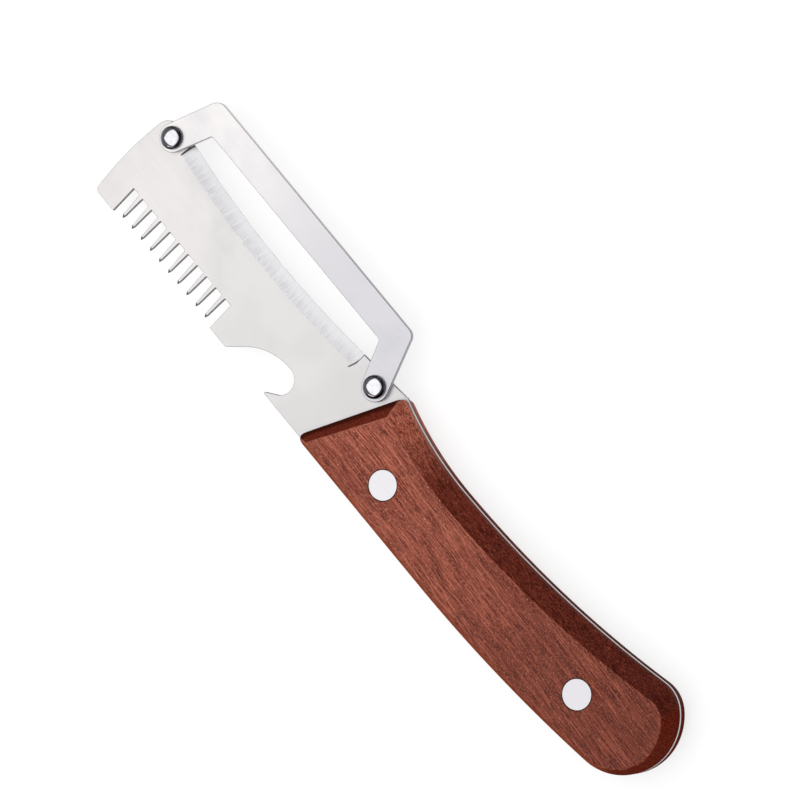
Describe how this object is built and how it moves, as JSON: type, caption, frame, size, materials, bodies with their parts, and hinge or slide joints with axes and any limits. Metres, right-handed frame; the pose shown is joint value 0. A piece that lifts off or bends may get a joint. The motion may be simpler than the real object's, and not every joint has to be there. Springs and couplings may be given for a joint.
{
  "type": "peeling knife",
  "caption": "Stiff kitchen knife with a guarded concave peeling edge, a scaling comb and an opener notch in one stamped plate, held between two bevelled wooden scales.",
  "frame": {"origin": "on the flat outer face of the rear scale, midway between the two handle rivets", "axes": "+X to the tip, +Y to the comb and opener side, +Z out of the front face, which carries the guard and its rivet heads"},
  "size_m": [0.2013, 0.0397, 0.0132],
  "materials": {
    "blade_steel": "satin stamped stainless plate",
    "guard_steel": "satin stamped stainless strip",
    "polished_rivet": "mirror-polished dome head",
    "handle_wood": "oiled reddish-brown hardwood, grain along the handle",
    "flush_rivet": "bright, ground flush with the wood"
  },
  "bodies": {
    "root": {"blade": "blade_steel", "guard": "guard_steel", "guard_rivet_tip": "polished_rivet", "guard_rivet_heel": "polished_rivet", "scale_front": "handle_wood", "scale_rear": "handle_wood", "front_rivet_post": "flush_rivet", "front_rivet_cap": "flush_rivet", "rear_rivet_post": "flush_rivet", "rear_rivet_cap": "flush_rivet"}
  },
  "joints": []
}
